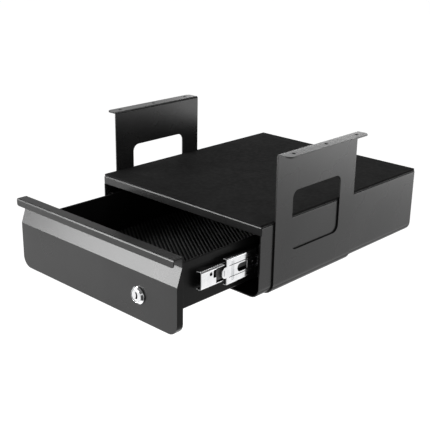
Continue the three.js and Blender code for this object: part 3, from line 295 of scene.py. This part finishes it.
# That width on other pieces, by a part of their name
OTHER_EDGES = (
    ("housing_top", 0.7),
    ("cage", 0),
)
EDGE_SEGMENTS = 2
EDGE_ANGLE = 35  # least turn of an edge that is rounded
CREASE_ANGLE = 40  # most turn of an edge that is shaded smooth
FRONT_ANGLE = 17  # both for the drawer front, whose bends are slighter
FACE_WEIGHT = 60
FLAT = 0.5  # most turn between faces that are made one
WELD = 0.002

# Faces told apart by their normal and place
SQUARE_ON = 0.9  # least part of the normal along an axis
TURNED_DOWN = 0.35  # least part of the normal downwards in the bends under the sides
NEAR = 0.1
PRESSED_DEPTH = 0.3
KEYWAY_RADIUS = 5.4
KEYWAY_DEPTH = 9.5

BALLS_PER_ROW = 6
BALL_OVER = 0.06  # over the faceted ball's diameter
# Across from the part's middle, up from the slide's middle, and diameter
OUTER_BALLS = (138, 19.775, 3.4 + BALL_OVER)
INNER_BALLS = (137.85, 14.525, 3.5 + BALL_OVER)
BALL_SUBDIVISIONS = 3


def add_object(name, mesh, material, body, replaced=None):
    mesh.materials.clear()
    mesh.materials.append(material)
    piece = bpy.data.objects.new(name, mesh)
    bpy.context.scene.collection.objects.link(piece)
    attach(piece, body)
    if replaced:
        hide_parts(replaced)
    return piece


def smooth(mesh, angle):
    for polygon in mesh.polygons:
        polygon.use_smooth = True
    mesh.set_sharp_from_angle(angle=math.radians(angle))


def round_edges(piece, width, angle):
    if width:
        bevel = piece.modifiers.new("edge", "BEVEL")
        bevel.width = width * MM
        bevel.segments = EDGE_SEGMENTS
        bevel.limit_method = "ANGLE"
        bevel.angle_limit = math.radians(angle)
    weighted = piece.modifiers.new("shade", "WEIGHTED_NORMAL")
    weighted.keep_sharp = True
    weighted.weight = FACE_WEIGHT


def refined(node, material, edge, angle, crease):
    """A copy of a CAD node with flat faces made whole, edges rounded and bends shaded smooth."""
    source = frame["nodes"][node].data
    work = bmesh.new()
    work.from_mesh(source)
    bmesh.ops.remove_doubles(work, verts=work.verts, dist=WELD * MM)
    bmesh.ops.dissolve_limit(work, angle_limit=math.radians(FLAT), verts=work.verts, edges=work.edges)
    mesh = bpy.data.meshes.new(node + "_look")
    work.to_mesh(mesh)
    work.free()
    smooth(mesh, crease)
    piece = add_object(node + "_look", mesh, material, BODY_OF[node], node)
    round_edges(piece, edge, angle)
    return piece


def other_faces(piece, material, chosen):
    """Another material on the faces that are chosen by their normal and centre."""
    mesh = piece.data
    mesh.materials.append(material)
    index = len(mesh.materials) - 1
    for polygon in mesh.polygons:
        if chosen(polygon.normal, polygon.center):
            polygon.material_index = index


def looks_along(axis):
    """Faces square to an axis."""
    return lambda normal, centre: abs(normal[axis]) > SQUARE_ON


def turns_under(normal, centre):
    """Faces of the bends between the sides and the underside."""
    return -SQUARE_ON < normal.z < -TURNED_DOWN


def in_recess(node):
    """Faces of the shallow recess pressed into a middle member's web."""
    low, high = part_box(node)
    web = max(abs(low.x), abs(high.x)) - PRESSED_DEPTH * MM
    return lambda normal, centre: abs(normal.x) > SQUARE_ON and abs(abs(centre.x) - web) < NEAR * MM


def in_keyway(node):
    """Walls and end of the keyhole, within a radius of the plug's axis and a depth of its face."""
    low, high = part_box(node)
    axis = (low + high) / 2

    def chosen(normal, centre):
        across = math.hypot(centre.x - axis.x, centre.z - axis.z)
        depth = centre.y - low.y
        return across < KEYWAY_RADIUS * MM and NEAR * MM < depth < KEYWAY_DEPTH * MM

    return chosen


def smooth_balls(node, side, across, up, size):
    """Round balls over the faceted ones of a cage, in two rows above and below its middle."""
    low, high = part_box(node)
    middle = (low.z + high.z) / 2
    pitch = (high.y - low.y) / BALLS_PER_ROW
    work = bmesh.new()
    for index in range(BALLS_PER_ROW):
        for way in (-1, 1):
            place = (side * across * MM, low.y + pitch * (index + 0.5), middle + way * up * MM)
            turn = Matrix.Translation(place)
            bmesh.ops.create_icosphere(
                work,
                subdivisions=BALL_SUBDIVISIONS,
                radius=size / 2 * MM,
                matrix=turn,
            )
    mesh = bpy.data.meshes.new(node + "_balls")
    work.to_mesh(mesh)
    work.free()
    for polygon in mesh.polygons:
        polygon.use_smooth = True
    add_object(node + "_balls", mesh, BALL_STEEL, BODY_OF[node])


def by_name(node, choices, usual):
    """The choice whose part of a name is in the node's name, or else the usual one."""
    for part, choice in choices:
        if part in node:
            return choice
    return usual


def dress(node):
    """The refined piece of a CAD node, with other materials on some of its faces."""
    look = by_name(node, SPECIAL_LOOKS, LOOKS[SLOT_OF[node]])
    angles = (FRONT_ANGLE, FRONT_ANGLE) if node == "drawer_front" else (EDGE_ANGLE, CREASE_ANGLE)
    piece = refined(node, look, by_name(node, OTHER_EDGES, EDGE), *angles)
    if node == "drawer_front":
        # Painted shade: the sides of the drawer front in the darker copy of the coat
        other_faces(piece, COAT_PAINTED_SHADE, looks_along(0))
    if node.endswith(("drawer_member", "middle_member")):
        # The ends of these members in light grey, partly a painted highlight
        other_faces(piece, SHEARED_AND_HIGHLIGHT, looks_along(1))
    if node.endswith("middle_member"):
        other_faces(piece, PRESSED_ZINC, in_recess(node))
    if node in ("housing_body", "left_bracket", "right_bracket"):
        # Painted shade: the bends under the sides of the housing and brackets in the darker copy of the
        # coat
        other_faces(piece, COAT_PAINTED_SHADE, turns_under)
    if node == "lock_plug":
        # Painted shade: the keyhole's walls and end in near-black
        other_faces(piece, KEYWAY_SHADE, in_keyway(node))


for node in SLOT_OF:
    dress(node)

for name, side in SIDES:
    smooth_balls(name + "_outer_ball_cage", side, *OUTER_BALLS)
    smooth_balls(name + "_inner_ball_cage", side, *INNER_BALLS)


# Stage

FLOOR_DOWN = -1.62
FLOOR_HALF = 30
FLOOR_AHEAD = 1.1  # floor's edge on the side where the camera stands
FLOOR_COLOR = 0.5
FLOOR_GLOW = 0.82

# Light of the studio walls against the height of the ray, from straight down to straight up
WALLS = (
    (-1.0, 0.25),
    (-0.35, 0.35),
    (-0.10, 0.9),
    (0.05, 1.3),
    (0.22, 1.3),
    (0.36, 0.25),
    (0.7, 0.2),
    (1.0, 0.5),
)
# What a surface mirrors of the studio: the white backdrop, and a dimmer ceiling above it
BACKDROP = (
    (-1.0, 1.0),
    (0.24, 1.0),
    (0.34, 0.1),
    (1.0, 0.3),
)
# The open side of the studio, where the camera stands: direction, half angles in degrees, light
OPEN_SIDE = (0.62, -0.7, -0.38)
OPEN_ANGLES = (26, 34)
OPEN_LIGHT = 0.06

# The soft lamps: name, place, size and watts, all turned to the part
LAMPS = (
    ("front_left", (-1.13, -1.93, 0.25), (1.3, 1.4), 79),
    ("left_high", (-1.6, -1.05, 1.25), (0.5, 0.5), 12),
    ("back_right", (1.66, 2.37, -0.60), (1.5, 0.4), 7),
    ("back_left", (-1.68, 2.31, 0.45), (1.0, 0.3), 3),
    ("overhead", (0.3, 0.9, 2.2), (1.2, 1.2), 20),
)
AIM = (0, -0.05, -0.12)


def seen_ray(tree):
    """1 for rays from the camera and for rays mirrored or let through by a surface, else 0."""
    path = tree.nodes.new("ShaderNodeLightPath")
    seen = path.outputs["Is Camera Ray"]
    for kind in ("Is Glossy Ray", "Is Transmission Ray"):
        either = tree.nodes.new("ShaderNodeMath")
        either.operation = "MAXIMUM"
        tree.links.new(seen, either.inputs[0])
        tree.links.new(path.outputs[kind], either.inputs[1])
        seen = either.outputs[0]
    return seen


def make_floor():
    work = bmesh.new()
    bmesh.ops.create_grid(work, x_segments=2, y_segments=2, size=FLOOR_HALF)
    mesh = bpy.data.meshes.new("floor")
    work.to_mesh(mesh)
    work.free()
    material = bpy.data.materials.new("floor")
    material.use_nodes = True
    tree = material.node_tree
    tree.nodes.clear()
    output = tree.nodes.new("ShaderNodeOutputMaterial")
    diffuse = tree.nodes.new("ShaderNodeBsdfDiffuse")
    diffuse.inputs["Color"].default_value = (FLOOR_COLOR, FLOOR_COLOR, FLOOR_COLOR, 1)
    glow = tree.nodes.new("ShaderNodeEmission")
    level = tree.nodes.new("ShaderNodeMath")
    level.operation = "MULTIPLY"
    level.inputs[1].default_value = FLOOR_GLOW
    tree.links.new(seen_ray(tree), level.inputs[0])
    tree.links.new(level.outputs[0], glow.inputs["Strength"])
    both = tree.nodes.new("ShaderNodeAddShader")
    tree.links.new(diffuse.outputs[0], both.inputs[0])
    tree.links.new(glow.outputs[0], both.inputs[1])
    tree.links.new(both.outputs[0], output.inputs["Surface"])
    mesh.materials.append(material)
    floor = bpy.data.objects.new("floor", mesh)
    turn = math.radians(CAMERA_AZIMUTH)
    behind = FLOOR_HALF - FLOOR_AHEAD
    floor.location = (-math.sin(turn) * behind, math.cos(turn) * behind, FLOOR_DOWN)
    floor.rotation_euler = (0, 0, turn)
    bpy.context.scene.collection.objects.link(floor)


def ramp_by_height(tree, height, stops):
    ramp = tree.nodes.new("ShaderNodeValToRGB")
    elements = ramp.color_ramp.elements
    while len(elements) < len(stops):
        elements.new(0.5)
    for element, (z, level) in zip(elements, stops):
        element.position = (z + 1) / 2
        element.color = (level, level, level, 1)
    tree.links.new(height, ramp.inputs[0])
    return ramp.outputs["Color"]


def open_side(tree, way, light):
    """The backdrop's light with the open side of the studio left dark."""
    along = tree.nodes.new("ShaderNodeVectorMath")
    along.operation = "DOT_PRODUCT"
    along.inputs[1].default_value = Vector(OPEN_SIDE).normalized()
    tree.links.new(way, along.inputs[0])
    outside = tree.nodes.new("ShaderNodeMapRange")
    inner, outer = (math.cos(math.radians(angle)) for angle in OPEN_ANGLES)
    outside.inputs["From Min"].default_value = inner
    outside.inputs["From Max"].default_value = outer
    outside.inputs["To Min"].default_value = OPEN_LIGHT
    tree.links.new(along.outputs["Value"], outside.inputs["Value"])
    dimmed = tree.nodes.new("ShaderNodeVectorMath")
    dimmed.operation = "SCALE"
    tree.links.new(light, dimmed.inputs[0])
    tree.links.new(outside.outputs["Result"], dimmed.inputs["Scale"])
    return dimmed.outputs["Vector"]


def make_world():
    world = bpy.data.worlds.new("studio")
    bpy.context.scene.world = world
    world.use_nodes = True
    tree = world.node_tree
    tree.nodes.clear()
    output = tree.nodes.new("ShaderNodeOutputWorld")
    way = tree.nodes.new("ShaderNodeTexCoord")
    parts = tree.nodes.new("ShaderNodeSeparateXYZ")
    tree.links.new(way.outputs["Generated"], parts.inputs[0])
    height = tree.nodes.new("ShaderNodeMapRange")
    height.inputs["From Min"].default_value = -1
    tree.links.new(parts.outputs["Z"], height.inputs["Value"])
    walls = tree.nodes.new("ShaderNodeBackground")
    tree.links.new(ramp_by_height(tree, height.outputs[0], WALLS), walls.inputs["Color"])
    mirrored = open_side(tree, way.outputs["Generated"], ramp_by_height(tree, height.outputs[0], BACKDROP))
    path = tree.nodes.new("ShaderNodeLightPath")
    shown = tree.nodes.new("ShaderNodeMixRGB")
    tree.links.new(path.outputs["Is Glossy Ray"], shown.inputs["Fac"])
    shown.inputs["Color1"].default_value = (1, 1, 1, 1)
    tree.links.new(mirrored, shown.inputs["Color2"])
    white = tree.nodes.new("ShaderNodeBackground")
    tree.links.new(shown.outputs["Color"], white.inputs["Color"])
    mix = tree.nodes.new("ShaderNodeMixShader")
    tree.links.new(seen_ray(tree), mix.inputs["Fac"])
    tree.links.new(walls.outputs[0], mix.inputs[1])
    tree.links.new(white.outputs[0], mix.inputs[2])
    tree.links.new(mix.outputs[0], output.inputs["Surface"])


def softbox(name, place, size, watts):
    data = bpy.data.lights.new(name, "AREA")
    data.shape = "RECTANGLE"
    data.size, data.size_y = size
    data.energy = watts
    lamp = bpy.data.objects.new(name, data)
    lamp.location = place
    lamp.rotation_mode = "QUATERNION"
    lamp.rotation_quaternion = (Vector(place) - Vector(AIM)).to_track_quat("Z", "Y")
    bpy.context.scene.collection.objects.link(lamp)


make_camera()
make_floor()
make_world()
for lamp in LAMPS:
    softbox(*lamp)

bpy.context.scene.view_settings.view_transform = "Standard"
